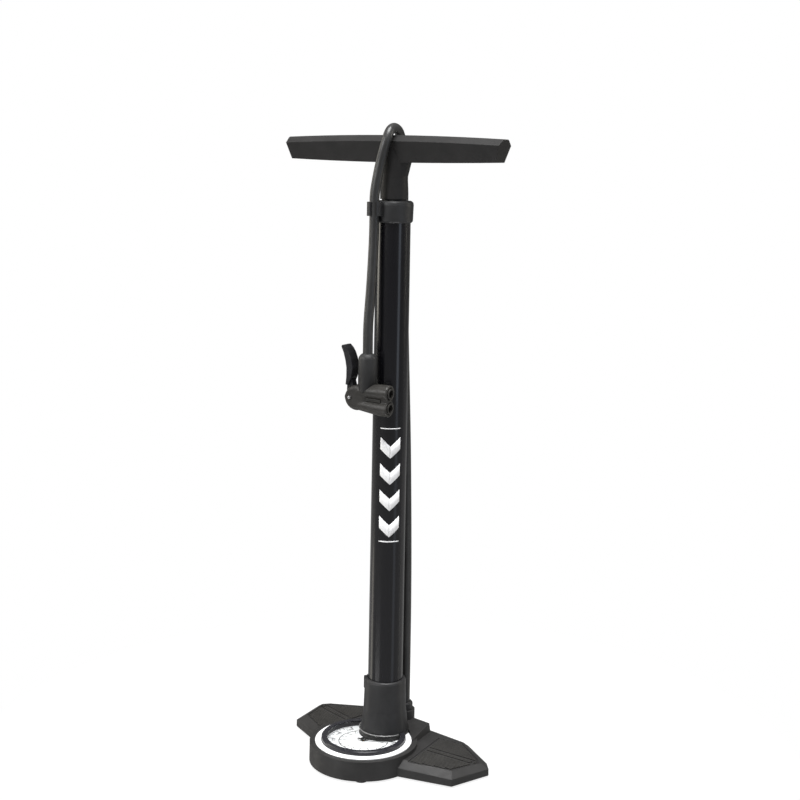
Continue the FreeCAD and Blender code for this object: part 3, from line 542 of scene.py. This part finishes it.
def knuckle_reach(x, across, up):
    """How far the round lever end reaches from the head's axis in a direction.

    The sixth powers make its section a rectangle with well rounded corners.
    """
    aside = abs(x - KNUCKLE_X)
    if aside >= KNUCKLE_RADIUS:
        return 0.0
    half = math.sqrt(KNUCKLE_RADIUS ** 2 - aside ** 2)
    thick = KNUCKLE_HALF * (1 - KNUCKLE_THINNING * (aside / KNUCKLE_RADIUS) ** 6)
    return (abs(across / thick) ** 6 + abs(up / half) ** 6) ** (-1 / 6)


def web_reach(across, up):
    """How far the flat web between the outlet barrels reaches."""
    nearly_none = 1e-6
    return min(WEB_WIDE / max(abs(across), nearly_none), WEB_HIGH / max(abs(up), nearly_none))


def lobe_reach(x, across, up):
    """How far the two tapering outlet barrels and the web between them reach."""
    grown = min(1.0, max(0.0, (x - KNUCKLE_X) / LOBE_LENGTH))
    tall = KNUCKLE_RADIUS + grown * (OUTLET_UP + OUTLET_RADIUS - KNUCKLE_RADIUS)
    if x < KNUCKLE_X:
        tall = math.sqrt(max(0.01, KNUCKLE_RADIUS ** 2 - (x - KNUCKLE_X) ** 2))
    high = min(tall / 2, LOBE_HIGH + grown * (OUTLET_RADIUS - LOBE_HIGH))
    wide = LOBE_WIDE + (OUTLET_RADIUS - LOBE_WIDE) * ease((x - WIDEN_FROM) / LOBE_LENGTH)
    middle = tall - high
    square = (across / wide) ** 2 + (up / high) ** 2
    linear = abs(up) * middle / high ** 2
    spare = 1 - (middle / high) ** 2
    lobe = (linear + math.sqrt(max(0.0, linear ** 2 + square * spare))) / square
    return max(lobe, web_reach(across, up)) if x > KNUCKLE_X else lobe


def soft_max(first, second, width=0.5):
    """The larger of two values, with a short blend where they meet."""
    mix = ease((first - second) / width / 2 + 0.5)
    return second + (first - second) * mix


def casing_section(x):
    """The casing's outline across the head at x."""
    shrink = FRONT_SHRINK if x == HEAD_FRONT else 1.0
    section = []
    for step in range(HEAD_ROUND):
        angle = 2 * math.pi * step / HEAD_ROUND
        across = math.cos(angle)
        up = math.sin(angle)
        reach = soft_max(knuckle_reach(x, across, up), lobe_reach(x, across, up)) * shrink
        section.append(in_head(x, across * reach, up * reach))
    return section


def fill_casing(bm):
    """Skin of the casing: sections at even turns round the lever's end, then at even steps."""
    turns = [math.radians(degrees) for degrees in range(4, 90, 6)]
    stations = [KNUCKLE_X - KNUCKLE_RADIUS * math.cos(turn) for turn in turns]
    stations += [KNUCKLE_X + step * HEAD_STEP for step in range(1, 50)]
    stations += [HEAD_FRONT - FRONT_CHAMFER, HEAD_FRONT]
    skin_sections(bm, [casing_section(x) for x in stations])


def fill_casing_cuts(bm):
    """The lever's slot and the two outlet bores."""
    half, floor, top = LEVER_SLOT_HALF, LEVER_SLOT_FLOOR, LEVER_SLOT_TOP
    slot = [(-half, floor), (half, floor), (half, top), (-half, top)]
    add_prism(bm, *[[in_head(x, y, z) for y, z in slot] for x in (-WELL_OUT, LEVER_SLOT_END)])
    for up in (OUTLET_UP, -OUTLET_UP):
        turns = [math.pi * step / 20 for step in range(40)]
        circle = [(OUTLET_BORE * math.cos(turn), up + OUTLET_BORE * math.sin(turn)) for turn in turns]
        add_prism(bm, *[[in_head(x, y, z) for y, z in circle] for x in (BORE_START, WELL_OUT)])


def rim_level(aside):
    """Height of the boot's rim above the head's axis: lowest in the middle, steeper towards the outlets."""
    slope = RIM_SLOPE_REAR if aside < 0 else RIM_SLOPE_FRONT
    return BOOT_RIM_HEIGHT + slope * abs(aside)


def boot_ring(radius, level_at):
    """A ring round the boot's axis, at the height that level_at gives for each place along the head."""
    ring = []
    for step in range(BOOT_ROUND):
        angle = 2 * math.pi * step / BOOT_ROUND
        aside = radius * math.cos(angle)
        spot = HEAD_TURN @ Vector((aside, radius * math.sin(angle), 0))
        ring.append((HEAD_SPOT + BOOT_ASIDE + Vector((spot.x, spot.y, level_at(aside)))) * MM)
    return ring


def fill_boot(bm):
    """Round-shouldered boot whose lower rim comes to a point on the head's flank."""
    top = box_mm("head_boot")[1].z - HEAD_SPOT.z
    rings = [boot_ring(BOOT_RIM_RADIUS - BOOT_RIM_CHAMFER, rim_level),
             boot_ring(BOOT_RIM_RADIUS, lambda aside: rim_level(aside) + BOOT_RIM_CHAMFER)]
    for radius, drop in BOOT_SHOULDER:
        rings.append(boot_ring(radius, lambda aside: top - drop))
    skin_sections(bm, rings)


def flank_patch(y, start, stop, half):
    """A rectangle on the head's flank, centred on its axis."""
    return [in_head(x, y, z) for x, z in ((start, -half), (stop, -half), (stop, half), (start, half))]


def fill_bar(bm):
    """Raised bar between the outlet barrels, with chamfered edges."""
    add_prism(bm, flank_patch(*BAR_FOOT), flank_patch(*BAR_FACE))


def build_head():
    """The casing, the boot and the bar, in place of the plainer solids."""
    casing = make_piece("head_casing", fill_casing, FINISHES["head_plastic"], "base")
    cut_piece(casing, fill_casing_cuts)
    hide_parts("head_body")
    boot = make_piece("boot", fill_boot, FINISHES["boot_rubber"], "base")
    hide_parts("head_boot")
    make_piece("head_bar", fill_bar, FINISHES["head_plastic"], "base", smooth=False)


# ---------------------------------------------------------------- foot tread

# The right wing's tread in plan. The ribs run along a slot and are broken along its outline.
TREAD_FIELD = [(59.4, -30.4), (96.7, -11.8), (105.6, 19.8), (100.3, 24.4), (69.9, 38.5), (47.8, 29.9)]
SLOT_CENTRE = (77.0, 10.0)
SLOT_HALF = (26.0, 4.4)
SLOT_TURN = math.radians(15)
RIB_PITCH = 2.3
RIB_WIDTH = 1.5
RIB_PROUD = 1.15
RIB_SUNK = 0.2
RIB_TAPER = 0.25
RIB_MARGIN = 0.7
RIB_SHORTEST = 2
RIB_SCRAP = 1
SLOT_MARGIN = 2


def foot_surface():
    """A function that gives the height of the foot's top at a place in plan, all in metres."""
    mesh = NODES["base_foot"].data
    corners = [vertex.co.copy() for vertex in mesh.vertices]
    surface = BVHTree.FromPolygons(corners, [face.vertices[:] for face in mesh.polygons])

    def height(x, y):
        above = Vector((x, y, 0.2))
        hit = surface.ray_cast(above, -UP)[0]
        return hit.z
    return height


def to_slot(point):
    """Plan position relative to the tread's slot, along and across it."""
    x = point[0] - SLOT_CENTRE[0]
    y = point[1] - SLOT_CENTRE[1]
    along = x * math.cos(SLOT_TURN) + y * math.sin(SLOT_TURN)
    across = y * math.cos(SLOT_TURN) - x * math.sin(SLOT_TURN)
    return along, across


def from_slot(along, across):
    """The plan position of a place along and across the slot."""
    return (SLOT_CENTRE[0] + along * math.cos(SLOT_TURN) - across * math.sin(SLOT_TURN),
            SLOT_CENTRE[1] + along * math.sin(SLOT_TURN) + across * math.cos(SLOT_TURN))


def rib_span(corners, across):
    """Where a rib fits inside the field, in slot coordinates, or None."""
    spans = []
    for level in (across - RIB_WIDTH / 2, across + RIB_WIDTH / 2):
        hits = []
        for (x0, y0), (x1, y1) in zip(corners, corners[1:] + corners[:1]):
            if (y0 - level) * (y1 - level) < 0:
                hits.append(x0 + (level - y0) * (x1 - x0) / (y1 - y0))
        if len(hits) < 2:
            return None
        spans.append((min(hits), max(hits)))
    start = max(low for low, _ in spans) + RIB_MARGIN
    stop = min(high for _, high in spans) - RIB_MARGIN
    return (start, stop) if stop - start >= RIB_SHORTEST else None


def tread_boxes():
    """Rectangles in slot coordinates: the ribs, broken along the outline of the slot."""
    corners = [to_slot(point) for point in TREAD_FIELD]
    low = min(across for _, across in corners)
    high = max(across for _, across in corners)
    boxes = []
    count = int((high - low) / RIB_PITCH)
    for index in range(count):
        across = low + (index + 0.5) * RIB_PITCH
        span = rib_span(corners, across)
        if not span:
            continue
        pieces = [span]
        if abs(across) < SLOT_HALF[1] + RIB_PITCH / 2:
            pieces = [(span[0], -SLOT_HALF[0]), (SLOT_HALF[0], span[1])]
        if abs(across) < SLOT_HALF[1] - RIB_PITCH / 2:
            pieces.append((SLOT_MARGIN - SLOT_HALF[0], SLOT_HALF[0] - SLOT_MARGIN))
        for start, stop in pieces:
            if stop - start > RIB_SCRAP:
                boxes.append((start, stop, across - RIB_WIDTH / 2, across + RIB_WIDTH / 2))
    return boxes


def fill_tread(bm, side, height):
    """Ribs that follow the foot's top; side mirrors them to the left wing."""
    for start, stop, near, far in tread_boxes():
        plan = [from_slot(start, near), from_slot(stop, near), from_slot(stop, far), from_slot(start, far)]
        lower = []
        for x, y in plan:
            level = height(side * x * MM, y * MM) - RIB_SUNK * MM
            lower.append(Vector((side * x * MM, y * MM, level)))
        middle = sum(lower, Vector()) / 4
        upper = []
        for point in lower:
            inwards = (middle - point).normalized()
            upper.append(point + (inwards * RIB_TAPER + UP * RIB_PROUD) * MM)
        add_prism(bm, lower, upper)


def build_treads():
    """The tread of both wings, the left one mirrored."""
    height = foot_surface()
    for name, side in (("tread_right", 1), ("tread_left", -1)):
        def fill(bm, side=side):
            fill_tread(bm, side, height)
        make_piece(name, fill, TREAD, "base", smooth=False)


# ---------------------------------------------------------------- gauge

# A tick of the outer scale is given by the radius where it starts and its width, an arc by its two radii and
# the degrees it runs on past the scale's ends.
dial_low, dial_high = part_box("gauge_dial")
DIAL_CENTRE = Vector((0, dial_low.y + (dial_high.x - dial_low.x) / 2, dial_high.z))
INK_FOOT = 0.005
INK_TOP = 0.06
COLUMN_MARGIN = 26.4
SWEEP_START = 29
SWEEP = 235
OUTER_STEPS = 16
INNER_STEPS = 11
ARC_STEP = 3.0
OUTER_EDGE = 35.6
LONG_TICK = (28.5, 1.1)
MIDDLE_TICK = (32.2, 0.65)
SHORT_TICK = (33.8, 0.65)
INNER_SCALE = (21.5, 24.2)
INNER_TICK_WIDTH = 0.8
INNER_ARC = (24.0, 24.9, 8)
OUTER_ARC = (35.5, 35.9, 4)
OUTER_NUMERAL_RADIUS = 29.6
OUTER_NUMERAL_SIZE = 5.0
INNER_NUMERAL_RADIUS = 19.0
INNER_NUMERAL_SIZE = 3.9
NUMERAL_ASIDE = 3.4
LIP_RADIUS = 25.3
LIP_THICK = 1.0
LIP_LIFT = 0.1
LIP_HALF_TURN = 76
LIP_STEPS = 48


def dial_point(radius, degrees, lift=INK_TOP):
    """A point over the dial, in scene metres."""
    angle = math.radians(degrees)
    return DIAL_CENTRE + Vector((radius * math.cos(angle), radius * math.sin(angle), lift)) * MM


def clear_of_column(radius, degrees):
    """Whether a place on the dial is clear of the barrel's socket."""
    spot = dial_point(radius, degrees)
    return math.hypot(spot.x, spot.y) > COLUMN_MARGIN * MM


def add_ink(bm, plan):
    """A thin raised patch of ink from its corners' radii and angles."""
    lower = [dial_point(radius, angle, INK_FOOT) for radius, angle in plan]
    upper = [dial_point(radius, angle) for radius, angle in plan]
    add_prism(bm, lower, upper)


def add_arc_band(bm, inner, outer, start, stop):
    """A band on the dial between two radii, left open where the column stands."""
    count = int(abs(stop - start) / ARC_STEP)
    for index in range(count):
        first = start + (stop - start) * index / count
        last = start + (stop - start) * (index + 1) / count
        if clear_of_column(inner, first) and clear_of_column(inner, last):
            add_ink(bm, [(inner, first), (outer, first), (outer, last), (inner, last)])
    bmesh.ops.remove_doubles(bm, verts=bm.verts, dist=1e-7)


def add_tick(bm, degrees, inner, outer, width):
    """A tick between two radii; its width is measured at the outer one."""
    half = math.degrees(width / 2 / outer)
    after, before = degrees + half, degrees - half
    add_ink(bm, [(inner, before), (outer, before), (outer, after), (inner, after)])


def on_scale(index, steps):
    """Angle of a scale's step; the sweep runs clockwise."""
    return SWEEP_START - SWEEP * index / steps


def fill_ticks(bm):
    """Two scales: the outer one has long, middle and short ticks, the inner one has one kind."""
    for index in range(OUTER_STEPS * 2 + 1):
        inner, width = LONG_TICK if index % 4 == 0 else MIDDLE_TICK if index % 2 == 0 else SHORT_TICK
        add_tick(bm, on_scale(index, OUTER_STEPS * 2), inner, OUTER_EDGE, width)
    for index in range(INNER_STEPS + 1):
        add_tick(bm, on_scale(index, INNER_STEPS), *INNER_SCALE, INNER_TICK_WIDTH)


def fill_rings(bm):
    """The arcs that carry the two scales."""
    for inner, outer, spare in (INNER_ARC, OUTER_ARC):
        add_arc_band(bm, inner, outer, SWEEP_START + spare, SWEEP_START - SWEEP - spare)


def add_numeral(text, degrees, radius, size, name):
    """One generic numeral with its top outwards."""
    curve = bpy.data.curves.new(name, "FONT")
    curve.body = text
    curve.size = size * MM
    curve.align_x = "CENTER"
    curve.align_y = "CENTER"
    curve.extrude = 0.03 * MM
    curve.resolution_u = 3
    curve.materials.append(INK)
    piece = bpy.data.objects.new(name, curve)
    bpy.context.scene.collection.objects.link(piece)
    place = Matrix.Translation(dial_point(radius, degrees))
    piece.matrix_world = place @ Matrix.Rotation(math.radians(degrees - 90), 4, "Z")
    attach(piece, "base")


def build_dial():
    """The gauge's print.

    Clockwise, each outer numeral stands just before its tick, and the first one just after.
    """
    make_piece("dial_ticks", fill_ticks, INK, "base", smooth=False)
    make_piece("dial_rings", fill_rings, INK, "base", smooth=False)
    beside = math.degrees(NUMERAL_ASIDE / OUTER_NUMERAL_RADIUS)
    for index in range(0, OUTER_STEPS + 1, 2):
        degrees = on_scale(index, OUTER_STEPS)
        degrees += -beside if index == 0 else beside
        add_numeral(str(index * 10), degrees, OUTER_NUMERAL_RADIUS, OUTER_NUMERAL_SIZE,
                    f"numeral_outer_{index}")
    for index in range(INNER_STEPS + 1):
        degrees = on_scale(index, INNER_STEPS)
        add_numeral(str(index), degrees, INNER_NUMERAL_RADIUS, INNER_NUMERAL_SIZE, f"numeral_inner_{index}")


def build_window_lip():
    """Raised clear lip of the window where it meets the barrel's socket."""
    centre = UP * (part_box("gauge_lens")[1].z + LIP_LIFT * MM)
    path = []
    for step in range(LIP_STEPS + 1):
        angle = math.radians(-90 - LIP_HALF_TURN + 2 * LIP_HALF_TURN * step / LIP_STEPS)
        path.append(centre + LIP_RADIUS * MM * Vector((math.cos(angle), math.sin(angle), 0)))

    def fill(bm):
        add_tube(bm, path, LIP_THICK / 2 * MM, 12)
    make_piece("window_lip", fill, LIP, "base")


# ---------------------------------------------------------------- barrel mark

MARK_BOTTOM = 216
MARK_TOP = 329
MARK_HALF = 10.5
MARK_MARGIN = 4
MARK_COUNT = 4
MARK_THICK = 0.05
MARK_GAP = 0.02
FACING_CAMERA = CAMERA_TURN - math.pi / 2
MARK_TURN = FACING_CAMERA + math.radians(4)
CHEVRON_RISE = 9
CHEVRON_BAND = 12
RULE_HEIGHT = 1


def on_barrel(radius, across, height):
    """A point wrapped round the barrel from the mark's middle; across is measured along the surface."""
    angle = MARK_TURN + across / radius
    return Vector((radius * math.cos(angle), radius * math.sin(angle), height)) * MM


def add_wrapped(bm, outline, radius, steps=8):
    """Wraps a flat four-cornered patch onto a cylinder as a thin closed shell."""
    (x0, z0), (x1, z1), (x2, z2), (x3, z3) = outline
    layers = []
    for lift in (0, MARK_THICK):
        rows = []
        for step in range(steps + 1):
            share = step / steps
            low = (x0 + (x1 - x0) * share, z0 + (z1 - z0) * share)
            high = (x3 + (x2 - x3) * share, z3 + (z2 - z3) * share)
            rows.append([bm.verts.new(on_barrel(radius + lift, x, z)) for x, z in (low, high)])
        layers.append(rows)
    inner, outer = layers
    for i in range(steps):
        bm.faces.new((outer[i][0], outer[i + 1][0], outer[i + 1][1], outer[i][1]))
        bm.faces.new((inner[i][1], inner[i + 1][1], inner[i + 1][0], inner[i][0]))
        bm.faces.new((inner[i][0], inner[i + 1][0], outer[i + 1][0], outer[i][0]))
        bm.faces.new((outer[i][1], outer[i + 1][1], inner[i + 1][1], inner[i][1]))
    bm.faces.new((inner[0][0], outer[0][0], outer[0][1], inner[0][1]))
    bm.faces.new((inner[-1][1], outer[-1][1], outer[-1][0], inner[-1][0]))


def fill_mark(bm):
    """Four broad chevrons between two thin rules."""
    low, high = box_mm("barrel_tube")
    radius = (high.x - low.x) / 2 + MARK_GAP
    pitch = (MARK_TOP - MARK_BOTTOM - 2 * MARK_MARGIN) / MARK_COUNT
    for index in range(MARK_COUNT):
        tip = MARK_BOTTOM + MARK_MARGIN + index * pitch
        for edge in (MARK_HALF, -MARK_HALF):
            outline = [(0, tip), (edge, tip + CHEVRON_RISE), (edge, tip + CHEVRON_RISE + CHEVRON_BAND),
                       (0, tip + CHEVRON_BAND)]
            add_wrapped(bm, outline, radius)
    for top in (MARK_BOTTOM, MARK_TOP):
        foot = top - RULE_HEIGHT
        outline = [(-MARK_HALF, foot), (MARK_HALF, foot), (MARK_HALF, top), (-MARK_HALF, top)]
        add_wrapped(bm, outline, radius, 12)


def build_barrel_mark():
    """A generic white mark in place of the maker's lettering."""
    make_piece("barrel_mark", fill_mark, DECAL, "base")


# ---------------------------------------------------------------- stage, lights and camera

WARM = (1, 0.95, 0.84)
COOL = (0.75, 0.85, 1)
WHITE = (1, 1, 1)
SHADOW_REACH = (0.16, 0.42)
CAMERA_DISTANCE = 1.45
CAMERA_HEIGHT = 0.60725
CAMERA_ASIDE = 0.01578
CAMERA_ROLL = math.radians(1.03)
CAMERA_LENS = 64.5
LENS_SHIFT = (-0.01294, -0.3122)
HOME_BAND = 0.02


def camera_only(tree, seen, unseen):
    """One look for the camera, another for every other ray."""
    path = add(tree, "ShaderNodeLightPath")
    mix = add(tree, "ShaderNodeMixShader")
    tree.links.new(path.outputs["Is Camera Ray"], mix.inputs["Fac"])
    tree.links.new(unseen, mix.inputs[1])
    tree.links.new(seen, mix.inputs[2])
    return mix.outputs["Shader"]


def floor_seen(tree, shader):
    """What the camera sees: a floor with a soft shadow round the foot that fades to white further out."""
    shader.inputs["Roughness"].default_value = 0.8
    shader.inputs["Base Color"].default_value = as_colour(0.16)
    glow = add(tree, "ShaderNodeEmission", Strength=0.84)
    lit = add(tree, "ShaderNodeAddShader")
    tree.links.new(glow.outputs["Emission"], lit.inputs[0])
    tree.links.new(shader.outputs["BSDF"], lit.inputs[1])
    where = add(tree, "ShaderNodeTexCoord")
    length = add(tree, "ShaderNodeVectorMath", operation="LENGTH")
    tree.links.new(where.outputs["Object"], length.inputs[0])
    fade = ramp(tree, length.outputs["Value"], 0.0, 1.0, *SHADOW_REACH)
    white = add(tree, "ShaderNodeEmission", Strength=1.0)
    seen = add(tree, "ShaderNodeMixShader")
    tree.links.new(fade, seen.inputs["Fac"])
    tree.links.new(lit.outputs["Shader"], seen.inputs[1])
    tree.links.new(white.outputs["Emission"], seen.inputs[2])
    return seen.outputs["Shader"]


def floor_reflected(tree):
    """What every other ray meets: a darker, slightly glossy floor that carries the lamps down the barrel."""
    matt = add(tree, "ShaderNodeBsdfDiffuse", Color=as_colour(0.15))
    sheen = add(tree, "ShaderNodeBsdfGlossy", Color=as_colour(0.35), Roughness=0.12)
    both = add(tree, "ShaderNodeAddShader")
    tree.links.new(matt.outputs["BSDF"], both.inputs[0])
    tree.links.new(sheen.outputs["BSDF"], both.inputs[1])
    return both.outputs["Shader"]


def make_floor():
    """Pale studio floor, just below the pump's pads."""
    material, tree, shader = new_material("studio_floor")
    surface = camera_only(tree, floor_seen(tree, shader), floor_reflected(tree))
    tree.links.new(surface, tree.nodes["Material Output"].inputs["Surface"])
    bm = bmesh.new()
    bmesh.ops.create_grid(bm, x_segments=8, y_segments=8, size=6)
    mesh = bpy.data.meshes.new("studio_floor")
    bm.to_mesh(mesh)
    bm.free()
    mesh.materials.append(material)
    floor = bpy.data.objects.new("studio_floor", mesh)
    floor.location.z = -0.5 * MM
    bpy.context.scene.collection.objects.link(floor)


def make_world():
    """White to the camera, a dim grey to everything it lights."""
    world = bpy.data.worlds.new("studio")
    bpy.context.scene.world = world
    world.use_nodes = True
    tree = world.node_tree
    tree.nodes.clear()
    output = add(tree, "ShaderNodeOutputWorld")
    seen = add(tree, "ShaderNodeBackground", Color=(1, 1, 1, 1), Strength=1.0)
    light = add(tree, "ShaderNodeBackground", Color=(1, 0.98, 0.96, 1), Strength=0.2)
    surface = camera_only(tree, seen.outputs["Background"], light.outputs["Background"])
    tree.links.new(surface, output.inputs["Surface"])


def make_light(name, turn, distance, height, size, power, colour=WHITE):
    """A soft box aimed at the pump; turn is its angle from the camera, round to the picture's right."""
    data = bpy.data.lights.new(name, "AREA")
    data.shape = "RECTANGLE"
    data.size, data.size_y = size
    data.energy = power
    data.color = colour
    lamp = bpy.data.objects.new(name, data)
    angle = CAMERA_TURN + math.radians(turn)
    lamp.location = (distance * math.sin(angle), -distance * math.cos(angle), height)
    aim = 0.35 * UP - lamp.location
    lamp.rotation_euler = aim.to_track_quat("-Z", "Y").to_euler()
    bpy.context.scene.collection.objects.link(lamp)


def make_lights():
    """One big lamp overhead, a key from the left, and strips whose reflections draw the barrel's streaks."""
    make_light("top", turn=20, distance=0.5, height=3.6, size=(2, 2), power=235)
    make_light("key", turn=-56, distance=1.9, height=1.2, size=(1.1, 1.1), power=24)
    make_light("left_strip", turn=-108, distance=1.4, height=0.85, size=(0.5, 1.3), power=8, colour=WARM)
    make_light("right_strip", turn=98, distance=1.4, height=0.8, size=(0.3, 1.2), power=4.5, colour=WARM)
    make_light("cool_strip", turn=47, distance=1.8, height=0.7, size=(0.5, 1.4), power=3.2, colour=COOL)


def shift_lens(camera, home_height, amount):
    """Shifts the lens down while the camera stands at its home height; other views stay centred.

    The driver's own curve turns the camera's height into the shift. It gets three level steps in place of the
    straight line that a new driver starts with.
    """
    curve = camera.data.driver_add("shift_y")
    curve.driver.type = "SUM"
    height = curve.driver.variables.new()
    height.name = "height"
    height.targets[0].id = camera
    height.targets[0].data_path = "location[2]"
    curve.modifiers.remove(curve.modifiers[0])
    curve.keyframe_points.clear()
    for offset, shift in ((-2 * HOME_BAND, 0.0), (-HOME_BAND, amount), (HOME_BAND, 0.0)):
        curve.keyframe_points.insert(home_height + offset, shift).interpolation = "CONSTANT"
    curve.extrapolation = "CONSTANT"


def make_camera():
    """Camera near the grip's height, level but for a slight roll, its lens shifted down to the floor."""
    data = bpy.data.cameras.new("camera")
    data.sensor_width = 36
    data.lens = CAMERA_LENS
    data.shift_x = LENS_SHIFT[0]
    camera = bpy.data.objects.new("camera", data)
    back = Vector((math.sin(CAMERA_TURN), -math.cos(CAMERA_TURN), 0))
    right = Vector((math.cos(CAMERA_TURN), math.sin(CAMERA_TURN), 0))
    spot = CAMERA_DISTANCE * back + CAMERA_ASIDE * right + CAMERA_HEIGHT * UP
    level = Matrix.Rotation(CAMERA_TURN, 4, "Z") @ Matrix.Rotation(math.pi / 2, 4, "X")
    camera.matrix_world = Matrix.Translation(spot) @ level @ Matrix.Rotation(CAMERA_ROLL, 4, "Z")
    bpy.context.scene.collection.objects.link(camera)
    bpy.context.scene.camera = camera
    shift_lens(camera, CAMERA_HEIGHT, LENS_SHIFT[1])


# ---------------------------------------------------------------- the scene

finish_cad()
build_hose()
build_valve_spring()
build_head()
build_treads()
build_dial()
build_window_lip()
build_barrel_mark()
make_floor()
make_world()
make_lights()
make_camera()
bpy.context.scene.view_settings.view_transform = "Standard"
